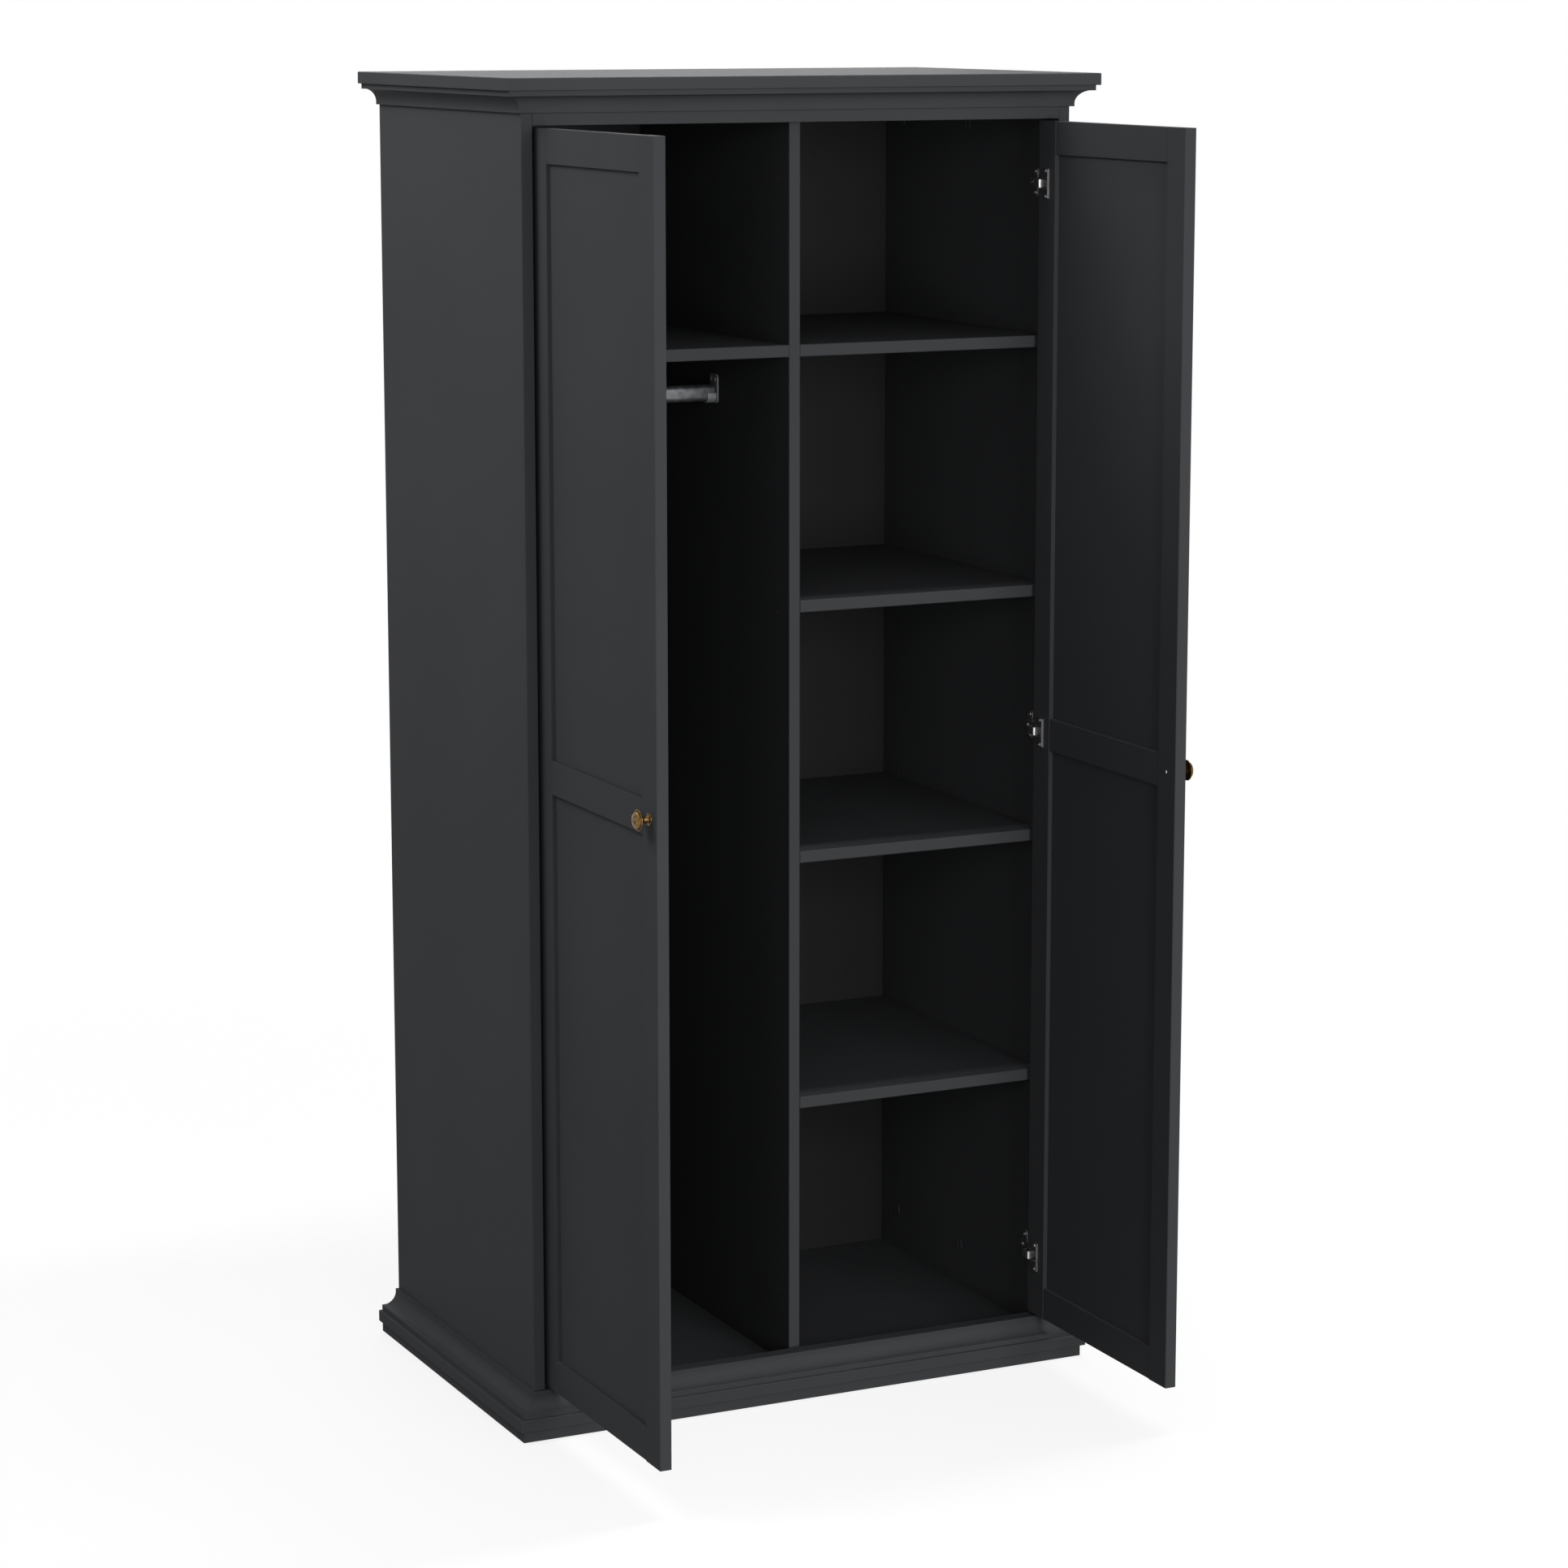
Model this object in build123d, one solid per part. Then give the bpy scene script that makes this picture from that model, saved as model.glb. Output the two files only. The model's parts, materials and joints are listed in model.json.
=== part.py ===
from build123d import *
import os

# Two-door wardrobe, millimetres, +Z up, +X right, front towards -Y.
# Origin: middle of the bottom board's footprint, on the floor.
# The doors are drawn shut and then swung open by REST_SWING, as photographed.

# Overall sizes
HEIGHT = 2010.0
CARCASS_W = 894.0
CARCASS_D = 571.0
BOARD = 18.0
OVERHANG = 35.0
EASE = 1.0

# Plinth and mouldings
PLINTH_H = 18.0
PLINTH_INSET = 6.0
MOULD_H = 32.0
FILLET_H = 8.0
FILLET_INSET = 6.0
LEDGE = 6.0
COVE_PROUD = 5.5
COVE_LIP = 2.0
FASCIA_H = 18.0
BACK_T = 3.0
BACK_INSET = 4.0
BACK_LAP = 9.0
BACK_JOINT = 1.0

# Shelves and drilled columns: front ones are counted from the panels' front edges, rear ones from the back
SHELF_SETBACK = 29.0
SHELF_DROP = 378.0
SHELF_PITCH = 384.0
SHELF_PLAY = 0.5
COLUMN_FRONT = 66.0
COLUMN_REAR = 59.0
HOLE_PITCH = 32.0
PIN_D = 5.0
PIN_IN = 8.0
PIN_OUT = 7.0
DOWEL_D = 8.0
DOWEL_HALF = 9.0
DOWEL_FRONT = 110.0
DOWEL_REAR = 111.0

# Cam fittings in the ends of the side panels
CAM_D = 15.0
CAM_T = 12.5
CAM_FROM_END = 34.0
CAM_SLOT_W = 2.0
CAM_SLOT_L = 8.0
CAM_SLOT_DEEP = 2.0
BOLT_BORE_D = 8.0
BOLT_D = 5.0
BOLT_THREAD_D = 6.0
BOLT_THREAD_L = 20.0
BOLT_HEAD_D = 7.0
BOLT_HEAD_L = 3.0
BOLT_TOP_GAP = 1.0

# Clothes rail and its cradles
RAIL_TALL = 26.0
RAIL_WIDE = 15.0
RAIL_WALL = 1.2
RAIL_DROP = 61.0
RAIL_DEPTH = 292.0
RAIL_END_GAP = 1.0
CRADLE_WALL = 2.5
CRADLE_L = 14.0
PLATE_W = 27.0
PLATE_ABOVE = 16.0
PLATE_T = 2.5
PLATE_R = 6.0
PLATE_SCREW_GAP = 14.0
PLATE_SCREW_UP = 8.0
WOOD_SCREW_D = 3.5
WOOD_SCREW_HEAD_D = 7.0
WOOD_SCREW_HEAD_T = 1.8
WOOD_SCREW_L = 12.0

# Doors
DOOR_GAP = 3.0
MEET_GAP = 3.0
DOOR_T = 18.0
STILE_W = 50.0
RAIL_STEP = 0.6
DOOR_PANEL_T = 5.0
GROOVE_DEEP = 8.0
PANEL_PLAY = 1.0
REST_SWING = -90.0

# Cup hinges, each drawn with one upright pin
HINGE_FROM_END = 94.0
PIVOT_IN = 10.0
PIVOT_BACK = 7.0
CUP_D = 26.0
CUP_FROM_EDGE = 17.0
CUP_BORE_DEEP = 14.0
CUP_FLOOR_GAP = 0.2
CUP_FLOOR_T = 0.6
CUP_WALL = 0.8
CUP_SLOT = 15.0
CUP_ROUND = 1.0
FLANGE_T = 1.2
FLANGE_RIM_D = 28.4
FLANGE_TALL = 47.0
FLANGE_WIDE = 15.0
FLANGE_FAR = 14.5
FLANGE_R = 2.0
LIP_T = 1.4
LIP_OUT = 3.4
CUP_SCREW_OFF = 5.5
CUP_SCREW_PITCH = 38.0
CUP_SCREW_D = 3.5
CUP_SCREW_L = 11.0
SCREW_HEAD_D = 7.0
SCREW_HEAD_T = 1.6
HINGE_PIN_D = 2.2
HINGE_PIN_L = 19.6
PIN_CLEAR = 0.05
KNUCKLE_R = 2.0
ARM_T = 2.2
ARM_H = 12.0
ARM_BEND_R = 2.4
ARM_REACH = 16.4
ARM_CLEAR = 17.1
ARM_BACK = 72.0
WING_TALL = 46.0
WING_WIDE = 13.0
WING_T = 2.4
SADDLE_T = 4.0
SADDLE_TALL = 13.0
SADDLE_FRONT = 24.0
EURO_D = 5.0
EURO_L = 12.0

# Knobs
KNOB_FROM_EDGE = 26.0
KNOB_FOOT_R = 9.0
KNOB_NECK_R = 4.6
KNOB_HEAD_R = 15.5
KNOB_OUT = 27.0
KNOB_FOOT_T = 1.6
KNOB_NECK_OUT = 9.7
KNOB_SWELL_R = 8.5
KNOB_RIM_OUT = 16.2
KNOB_DOME_OUT = 20.3
KNOB_BEAD = 0.8
KNOB_SCREW_D = 4.0
KNOB_SCREW_IN = 11.0
KNOB_HOLE_PLAY = 0.25

# Levels and reference planes worked out from the sizes above
DEPTH = CARCASS_D + OVERHANG
X_OUT = CARCASS_W / 2
X_IN = X_OUT - BOARD
X_EDGE = X_OUT + OVERHANG
Y_FRONT = -DEPTH / 2 + OVERHANG
Y_BACK = DEPTH / 2
Y_SHELF = Y_FRONT + SHELF_SETBACK
Z_FLOOR = PLINTH_H + BOARD
Z_SIDE = Z_FLOOR + MOULD_H
Z_TOP = HEIGHT - BOARD
Z_CORNICE = Z_TOP - MOULD_H
Z_FASCIA = Z_CORNICE - FASCIA_H
HALF_T = BOARD / 2
FILLET_OUT = OVERHANG - FILLET_INSET

Z_FIXED = Z_TOP - SHELF_DROP
Z_SHELVES = [Z_FIXED - SHELF_PITCH * step for step in (1, 2, 3)]
COLUMNS = [Y_FRONT + COLUMN_FRONT, Y_BACK - COLUMN_REAR]
CAM_ROWS = [COLUMNS[0], (COLUMNS[0] + COLUMNS[1]) / 2, COLUMNS[1]]

DOOR_W = X_IN - DOOR_GAP - MEET_GAP / 2
DOOR_X = -X_IN + DOOR_GAP
DOOR_Z = Z_SIDE + DOOR_GAP
DOOR_TOP = Z_FASCIA - DOOR_GAP
DOOR_MID = (DOOR_Z + DOOR_TOP) / 2
Y_INNER = Y_FRONT + DOOR_T
HINGE_ZS = [DOOR_Z + HINGE_FROM_END, DOOR_MID, DOOR_TOP - HINGE_FROM_END]
PIVOT_X = DOOR_X + PIVOT_IN
PIVOT_Y = Y_FRONT + PIVOT_BACK
CUP_X = DOOR_X + CUP_FROM_EDGE
CUP_DEEP = CUP_BORE_DEEP - CUP_FLOOR_GAP
RAIL_Z = Z_FIXED - BOARD - RAIL_DROP - RAIL_TALL / 2
RAIL_Y = Y_FRONT + RAIL_DEPTH


def block(x0, x1, y0, y1, z0, z1):
    """A plain rectangular prism between two corners."""
    profile = Pos((x0 + x1) / 2, (y0 + y1) / 2, z0) * Rectangle(x1 - x0, y1 - y0)
    return extrude(profile, z1 - z0)


def board(x0, x1, y0, y1, z0, z1, eased):
    """A panel with small chamfers along the edges lying in the eased plane."""
    panel = block(x0, x1, y0, y1, z0, z1)
    axis, value = eased
    ends = panel.faces().filter_by(axis).sort_by(axis)
    face = ends[0] if value < 0 else ends[-1]
    return chamfer(face.edges(), EASE)


def rod_x(x0, x1, y, z, diameter):
    """A cylinder along X."""
    profile = Plane.YZ.offset(x0) * (Pos(y, z) * Circle(diameter / 2))
    return extrude(profile, x1 - x0)


def rod_y(x, y0, y1, z, diameter):
    """A cylinder along Y."""
    profile = Plane.XZ.offset(-y0) * (Pos(x, z) * Circle(diameter / 2))
    return extrude(profile, -(y1 - y0))


def rod_z(x, y, z0, z1, diameter):
    """A cylinder along Z."""
    return extrude(Pos(x, y, z0) * Circle(diameter / 2), z1 - z0)


def mirrored(shape):
    """The same piece for the right-hand half."""
    return mirror(shape, about=Plane.YZ)


def write(name, *solids):
    """Writes one node: a single solid or a group of separate solids."""
    pieces = [solid for shape in solids for solid in shape.solids()]
    shape = pieces[0] if len(pieces) == 1 else Compound(children=pieces)
    shape.label = name
    export_step(shape, os.path.join("parts", name + ".step"))


def moulding_section(z0, z1):
    """Fillet, ledge and cove in (outward, z), fillet at z0 and cove lip at z1."""
    up = 1 if z1 > z0 else -1
    cove_start = FILLET_OUT - LEDGE
    z_ledge = z0 + up * FILLET_H
    z_lip = z1 - up * COVE_LIP
    bend = 0.5 ** 0.5
    middle = (
        cove_start - (cove_start - COVE_PROUD) * bend,
        z_lip - (z_lip - z_ledge) * bend,
    )
    outline = [
        Polyline((COVE_PROUD, z_lip), (COVE_PROUD, z1), (-BOARD, z1), (-BOARD, z0),
                 (FILLET_OUT, z0), (FILLET_OUT, z_ledge), (cove_start, z_ledge)),
        ThreePointArc((cove_start, z_ledge), middle, (COVE_PROUD, z_lip)),
    ]
    return make_face(outline)


def moulding_front(z0, z1):
    """Front run, mitred at both ends."""
    half = X_OUT + FILLET_OUT
    low = min(z0, z1)
    section = moulding_section(z0, z1)
    plane = Plane((-half, Y_FRONT, 0), x_dir=(0, -1, 0), z_dir=(-1, 0, 0))
    run = extrude(plane * section, -2 * half)
    plan = make_face(Polyline((-half, Y_FRONT - FILLET_OUT), (half, Y_FRONT - FILLET_OUT),
                              (X_IN, Y_FRONT + BOARD), (-X_IN, Y_FRONT + BOARD), close=True))
    return run & extrude(Pos(0, 0, low) * plan, MOULD_H)


def moulding_side(z0, z1):
    """Left-hand run, mitred at the front and square at the back."""
    half = X_OUT + FILLET_OUT
    low = min(z0, z1)
    start = Y_FRONT - FILLET_OUT
    section = moulding_section(z0, z1)
    plane = Plane((-X_OUT, start, 0), x_dir=(-1, 0, 0), z_dir=(0, 1, 0))
    run = extrude(plane * section, Y_BACK - start)
    plan = make_face(Polyline((-half, start), (-X_IN, Y_FRONT + BOARD), (-X_IN, Y_BACK),
                              (-half, Y_BACK), close=True))
    return run & extrude(Pos(0, 0, low) * plan, MOULD_H)


def cam_set(y, z_end, up):
    """Cam, bolt and the holes they need at one end of the left side panel."""
    x = -X_OUT + HALF_T
    z_cam = z_end + up * CAM_FROM_END
    bore = rod_z(x, y, z_end, z_cam, BOLT_BORE_D)
    seat = rod_x(-X_IN - CAM_T, -X_IN, y, z_cam, CAM_D)
    slot = block(-X_IN - CAM_SLOT_DEEP, -X_IN, y - CAM_SLOT_L / 2, y + CAM_SLOT_L / 2,
                 z_cam - CAM_SLOT_W / 2, z_cam + CAM_SLOT_W / 2)
    cross = slot.rotate(Axis((0, y, z_cam), (1, 0, 0)), 90)
    cam = seat - bore - slot - cross
    shank_top = z_cam - up * (BOLT_TOP_GAP + BOLT_HEAD_L)
    thread = rod_z(x, y, z_end - up * BOLT_THREAD_L, z_end, BOLT_THREAD_D)
    shank = rod_z(x, y, z_end, shank_top, BOLT_D)
    head = rod_z(x, y, shank_top, shank_top + up * BOLT_HEAD_L, BOLT_HEAD_D)
    return cam, thread + shank + head, [bore, seat], thread


def hinge_point(across, back):
    """Plan point near the left pivot, across counted towards the side panel."""
    return (PIVOT_X - across, PIVOT_Y + back)


def pan_head_y(x, y, z, length, diameter, head_d, head_t):
    """Screw along Y with its head's seat at y, shank towards -Y."""
    profile = make_face(Polyline((0, -length), (diameter / 2, -length), (diameter / 2, 0),
                                 (head_d / 2, 0), (head_d / 2, head_t / 2),
                                 (head_d / 4, head_t), (0, head_t), close=True))
    return Pos(x, y, z) * revolve(profile, Axis.Y)


def pan_head_x(x, y, z, length, diameter, head_d, head_t):
    """Screw along X with its head's seat at x, shank towards -X."""
    return Pos(x, y, z) * (Rot(0, 0, -90) * pan_head_y(0, 0, 0, length, diameter, head_d, head_t))


def on_door(shape):
    """Swings a piece of the shut left door to its resting place."""
    return shape.rotate(Axis((PIVOT_X, PIVOT_Y, 0), (0, 0, 1)), REST_SWING)


def write_pair(name, *solids):
    """Writes a left door piece and its mirrored right-hand twin."""
    resting = [on_door(solid) for shape in solids for solid in shape.solids()]
    write("left_door_" + name, *resting)
    write("right_door_" + name, *[mirrored(solid) for solid in resting])


os.makedirs("parts", exist_ok=True)

# Plinth
x_plinth = X_EDGE - PLINTH_INSET
y_plinth = Y_FRONT - OVERHANG + PLINTH_INSET
plinth_front = board(-x_plinth, x_plinth, y_plinth, y_plinth + BOARD, 0, PLINTH_H, (Axis.Y, -1))
write("plinth_front", plinth_front)
write("plinth_back", block(-x_plinth, x_plinth, Y_BACK - BOARD, Y_BACK, 0, PLINTH_H))
y_runner = (y_plinth + BOARD, Y_BACK - BOARD)
plinth_left = block(-x_plinth, -x_plinth + BOARD, *y_runner, 0, PLINTH_H)
write("plinth_left", plinth_left)
write("plinth_right", mirrored(plinth_left))
write("plinth_middle", block(-HALF_T, HALF_T, *y_runner, 0, PLINTH_H))

# Bottom and top boards
write("bottom_board", board(-X_EDGE, X_EDGE, -DEPTH / 2, Y_BACK, PLINTH_H, Z_FLOOR, (Axis.Z, 1)))
write("top_board", board(-X_EDGE, X_EDGE, -DEPTH / 2, Y_BACK, Z_TOP, HEIGHT, (Axis.Z, 1)))

# Side panels with their cam fittings, base mouldings and cornice
cams = []
bolts = []
panel_cuts = []
base_cuts = []
cornice_cuts = []
for y_cam in CAM_ROWS:
    cam, bolt, holes, thread = cam_set(y_cam, Z_SIDE, 1)
    cams.append(cam)
    bolts.append(bolt)
    panel_cuts += holes
    base_cuts.append(thread)
    cam, bolt, holes, thread = cam_set(y_cam, Z_CORNICE, -1)
    cams.append(cam)
    bolts.append(bolt)
    panel_cuts += holes
    cornice_cuts.append(thread)
write("cam_locks", *cams, *[mirrored(cam) for cam in cams])
write("cam_bolts", *bolts, *[mirrored(bolt) for bolt in bolts])

base_left = moulding_side(Z_FLOOR, Z_SIDE) - base_cuts
write("base_moulding_left", base_left)
write("base_moulding_right", mirrored(base_left))
write("base_moulding_front", moulding_front(Z_FLOOR, Z_SIDE))

cornice_left = moulding_side(Z_TOP, Z_CORNICE) - cornice_cuts
write("cornice_left", cornice_left)
write("cornice_right", mirrored(cornice_left))
write("cornice_front", moulding_front(Z_TOP, Z_CORNICE))
write("cornice_rail_back", block(-X_IN, X_IN, Y_BACK - BOARD, Y_BACK, Z_CORNICE, Z_TOP))
write("fascia_rail", block(-X_IN, X_IN, Y_FRONT, Y_FRONT + BOARD, Z_FASCIA, Z_CORNICE))

# Shelf pins, dowels and the drilled columns
pins = []
pin_holes_right = []
pin_holes_divider = []
for z_shelf in Z_SHELVES:
    z_pin = z_shelf - BOARD - PIN_D / 2
    for y_pin in COLUMNS:
        for row in (-1, 0, 1):
            z_hole = z_pin + row * HOLE_PITCH
            pin_holes_right.append(rod_x(X_IN, X_IN + PIN_IN, y_pin, z_hole, PIN_D))
            pin_holes_divider.append(rod_x(-HALF_T, HALF_T, y_pin, z_hole, PIN_D))
        pins.append(rod_x(HALF_T - PIN_IN, HALF_T + PIN_OUT, y_pin, z_pin, PIN_D))
        pins.append(rod_x(X_IN - PIN_OUT, X_IN + PIN_IN, y_pin, z_pin, PIN_D))
write("shelf_pins", *pins)

dowels = []
z_dowel = Z_FIXED - HALF_T
for y_dowel in (Y_FRONT + DOWEL_FRONT, Y_BACK - DOWEL_REAR):
    dowels.append(rod_x(-X_IN - DOWEL_HALF, -X_IN + DOWEL_HALF, y_dowel, z_dowel, DOWEL_D))
    dowels.append(rod_x(-HALF_T - DOWEL_HALF, HALF_T + DOWEL_HALF, y_dowel, z_dowel, DOWEL_D))
    dowels.append(rod_x(X_IN - DOWEL_HALF, X_IN + DOWEL_HALF, y_dowel, z_dowel, DOWEL_D))
write("wooden_dowels", *dowels)

# Hinge plates, arms and their screws on the left side panel
plates = []
arms = []
euro_screws = []
euro_holes = []
divider_holes = []
y_euro = COLUMNS[0]
arm_path = FilletPolyline(
    hinge_point(PIVOT_IN + DOOR_GAP - SADDLE_T - ARM_T / 2, ARM_BACK),
    hinge_point(PIVOT_IN + DOOR_GAP - SADDLE_T - ARM_T / 2, ARM_CLEAR),
    hinge_point(-ARM_REACH, ARM_CLEAR),
    hinge_point(-ARM_REACH, 0),
    hinge_point(0, 0),
    radius=ARM_BEND_R,
)
arm_plan = trace(arm_path, ARM_T) + Pos(PIVOT_X, PIVOT_Y) * Circle(KNUCKLE_R)
arm_plan -= Pos(PIVOT_X, PIVOT_Y) * Circle(HINGE_PIN_D / 2 + PIN_CLEAR)
for z_hinge in HINGE_ZS:
    wing_plan = Pos(y_euro, z_hinge) * SlotOverall(WING_TALL, WING_WIDE, rotation=90)
    wing = extrude(Plane.YZ.offset(-X_IN) * wing_plan, WING_T)
    saddle = block(-X_IN, -X_IN + SADDLE_T, PIVOT_Y + SADDLE_FRONT, PIVOT_Y + ARM_BACK,
                   z_hinge - SADDLE_TALL / 2, z_hinge + SADDLE_TALL / 2)
    plate = wing + saddle
    for side in (-1, 1):
        z_screw = z_hinge + side * HOLE_PITCH / 2
        plate -= rod_x(-X_IN, -X_IN + WING_T, y_euro, z_screw, EURO_D)
        euro_holes.append(rod_x(-X_IN - EURO_L + WING_T, -X_IN, y_euro, z_screw, EURO_D))
        divider_holes.append(rod_x(-HALF_T, HALF_T, y_euro, z_screw, EURO_D))
        euro_screws.append(pan_head_x(-X_IN + WING_T, y_euro, z_screw, EURO_L, EURO_D,
                                      SCREW_HEAD_D, SCREW_HEAD_T))
    plates.append(plate)
    arms.append(extrude(Pos(0, 0, z_hinge - ARM_H / 2) * arm_plan, ARM_H))
write("hinge_plates", *plates, *[mirrored(plate) for plate in plates])
write("hinge_arms", *arms, *[mirrored(arm) for arm in arms])
write("hinge_plate_screws", *euro_screws, *[mirrored(screw) for screw in euro_screws])

# Clothes rail, cradles and their screws
rail_outer = SlotOverall(RAIL_TALL, RAIL_WIDE, rotation=90)
rail_inner = SlotOverall(RAIL_TALL - 2 * RAIL_WALL, RAIL_WIDE - 2 * RAIL_WALL, rotation=90)
rail_start = -X_IN + PLATE_T + RAIL_END_GAP
rail_end = -HALF_T - PLATE_T - RAIL_END_GAP
rail_plane = Plane.YZ.offset(rail_start) * Pos(RAIL_Y, RAIL_Z)
write("clothes_rail", extrude(rail_plane * (rail_outer - rail_inner), rail_end - rail_start))

cradle_tall = RAIL_TALL + 2 * CRADLE_WALL
cradle_wide = RAIL_WIDE + 2 * CRADLE_WALL
mouth = Pos(0, RAIL_TALL / 2) * Rectangle(cradle_wide, RAIL_TALL)
cradle_section = SlotOverall(cradle_tall, cradle_wide, rotation=90) - rail_outer - mouth
plate_low = -RAIL_TALL / 2 - CRADLE_WALL
plate_high = RAIL_TALL / 2 + PLATE_ABOVE
plate_tall = plate_high - plate_low
plate_section = Pos(0, plate_low + plate_tall / 2) * RectangleRounded(PLATE_W, plate_tall, PLATE_R)
bracket_plane = Plane.YZ.offset(-X_IN) * Pos(RAIL_Y, RAIL_Z)
bracket = extrude(bracket_plane * plate_section, PLATE_T)
bracket += extrude(Plane.YZ.offset(-X_IN + PLATE_T) * Pos(RAIL_Y, RAIL_Z) * cradle_section, CRADLE_L)
z_bracket_screw = RAIL_Z + RAIL_TALL / 2 + PLATE_SCREW_UP
bracket_screws = []
bracket_holes = []
for side in (-1, 1):
    y_screw = RAIL_Y + side * PLATE_SCREW_GAP / 2
    bracket -= rod_x(-X_IN, -X_IN + PLATE_T, y_screw, z_bracket_screw, WOOD_SCREW_D)
    bracket_holes.append(rod_x(-X_IN - WOOD_SCREW_L + PLATE_T, -X_IN, y_screw, z_bracket_screw,
                               WOOD_SCREW_D))
    bracket_screws.append(pan_head_x(-X_IN + PLATE_T, y_screw, z_bracket_screw, WOOD_SCREW_L, WOOD_SCREW_D,
                                     WOOD_SCREW_HEAD_D, WOOD_SCREW_HEAD_T))
# the divider's cradle is the same bracket turned to face left
to_divider = Pos(-X_IN - HALF_T, 0, 0)
far_bracket = to_divider * mirrored(bracket)
far_screws = [to_divider * mirrored(screw) for screw in bracket_screws]
far_holes = [to_divider * mirrored(hole) for hole in bracket_holes]
write("rail_brackets", bracket, far_bracket)
write("rail_bracket_screws", *bracket_screws, *far_screws)

# Side panels
side_left = board(-X_OUT, -X_IN, Y_FRONT, Y_BACK, Z_SIDE, Z_CORNICE, (Axis.Y, -1))
side_left -= panel_cuts + euro_holes
side_right = mirrored(side_left) - pin_holes_right
side_left -= bracket_holes + dowels
side_right -= dowels
write("left_side_panel", side_left)
write("right_side_panel", side_right)

# Divider, notched round the back rail
divider = board(-HALF_T, HALF_T, Y_SHELF, Y_BACK, Z_FLOOR, Z_TOP, (Axis.Y, -1))
divider -= block(-BOARD, BOARD, Y_BACK - BOARD, Y_BACK, Z_CORNICE, Z_TOP)
write("divider_panel", divider - pin_holes_divider - divider_holes - far_holes - dowels)

# Shelves
fixed_left = board(-X_IN, -HALF_T, Y_SHELF, Y_BACK, Z_FIXED - BOARD, Z_FIXED, (Axis.Y, -1))
write("hat_shelf", fixed_left - dowels)
write("upper_shelf", mirrored(fixed_left) - dowels)
for index, z_shelf in enumerate(Z_SHELVES):
    shelf = board(HALF_T + SHELF_PLAY, X_IN - SHELF_PLAY, Y_SHELF, Y_BACK - SHELF_PLAY,
                  z_shelf - BOARD, z_shelf, (Axis.Y, -1))
    write("adjustable_shelf_" + str(index + 1), shelf)

# Back panels, lapped over the rear edges of the top and bottom boards
back_left = block(-X_OUT + BACK_INSET, -BACK_JOINT / 2, Y_BACK, Y_BACK + BACK_T,
                  Z_FLOOR - BACK_LAP, Z_TOP + BACK_LAP)
write("back_panel_left", back_left)
write("back_panel_right", mirrored(back_left))

# Door stiles and rails, drawn shut
y_mid = Y_FRONT + DOOR_T / 2
half_panel = DOOR_PANEL_T / 2
stile_plan = Pos(DOOR_X + STILE_W / 2, y_mid) * Rectangle(STILE_W, DOOR_T)
stile_plan = chamfer(stile_plan.vertices(), EASE)
stile_plan -= Pos(DOOR_X + STILE_W - GROOVE_DEEP / 2, y_mid) * Rectangle(GROOVE_DEEP, DOOR_PANEL_T)
stile = extrude(Pos(0, 0, DOOR_Z) * stile_plan, DOOR_TOP - DOOR_Z)
meeting_stile = mirrored(stile)
meeting_stile = Pos(2 * DOOR_X + DOOR_W, 0, 0) * meeting_stile

rail_x0 = DOOR_X + STILE_W
rail_x1 = DOOR_X + DOOR_W - STILE_W
rail_face = DOOR_T / 2 - RAIL_STEP


def door_rail(z0, grooves):
    """A cross rail with stub tenons and panel grooves on the named edges."""
    body = block(rail_x0, rail_x1, y_mid - rail_face, y_mid + rail_face, z0, z0 + STILE_W)
    for edge in grooves:
        at = z0 if edge < 0 else z0 + STILE_W - GROOVE_DEEP
        body -= block(rail_x0, rail_x1, y_mid - half_panel, y_mid + half_panel, at, at + GROOVE_DEEP)
    low = z0 + (GROOVE_DEEP if -1 in grooves else 0)
    high = z0 + STILE_W - (GROOVE_DEEP if 1 in grooves else 0)
    tenons = block(rail_x0 - GROOVE_DEEP, rail_x1 + GROOVE_DEEP,
                   y_mid - half_panel, y_mid + half_panel, low, high)
    return body + tenons


def door_panel(z0, z1):
    """A thin panel let into the grooves round it."""
    reach = GROOVE_DEEP - PANEL_PLAY
    return block(rail_x0 - reach, rail_x1 + reach, y_mid - half_panel, y_mid + half_panel,
                 z0 - reach, z1 + reach)


z_mid_rail = DOOR_MID - STILE_W / 2
write_pair("bottom_rail", door_rail(DOOR_Z, (1,)))
write_pair("middle_rail", door_rail(z_mid_rail, (-1, 1)))
write_pair("top_rail", door_rail(DOOR_TOP - STILE_W, (-1,)))
write_pair("lower_panel", door_panel(DOOR_Z + STILE_W, z_mid_rail))
write_pair("upper_panel", door_panel(z_mid_rail + STILE_W, DOOR_TOP - STILE_W))

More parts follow.
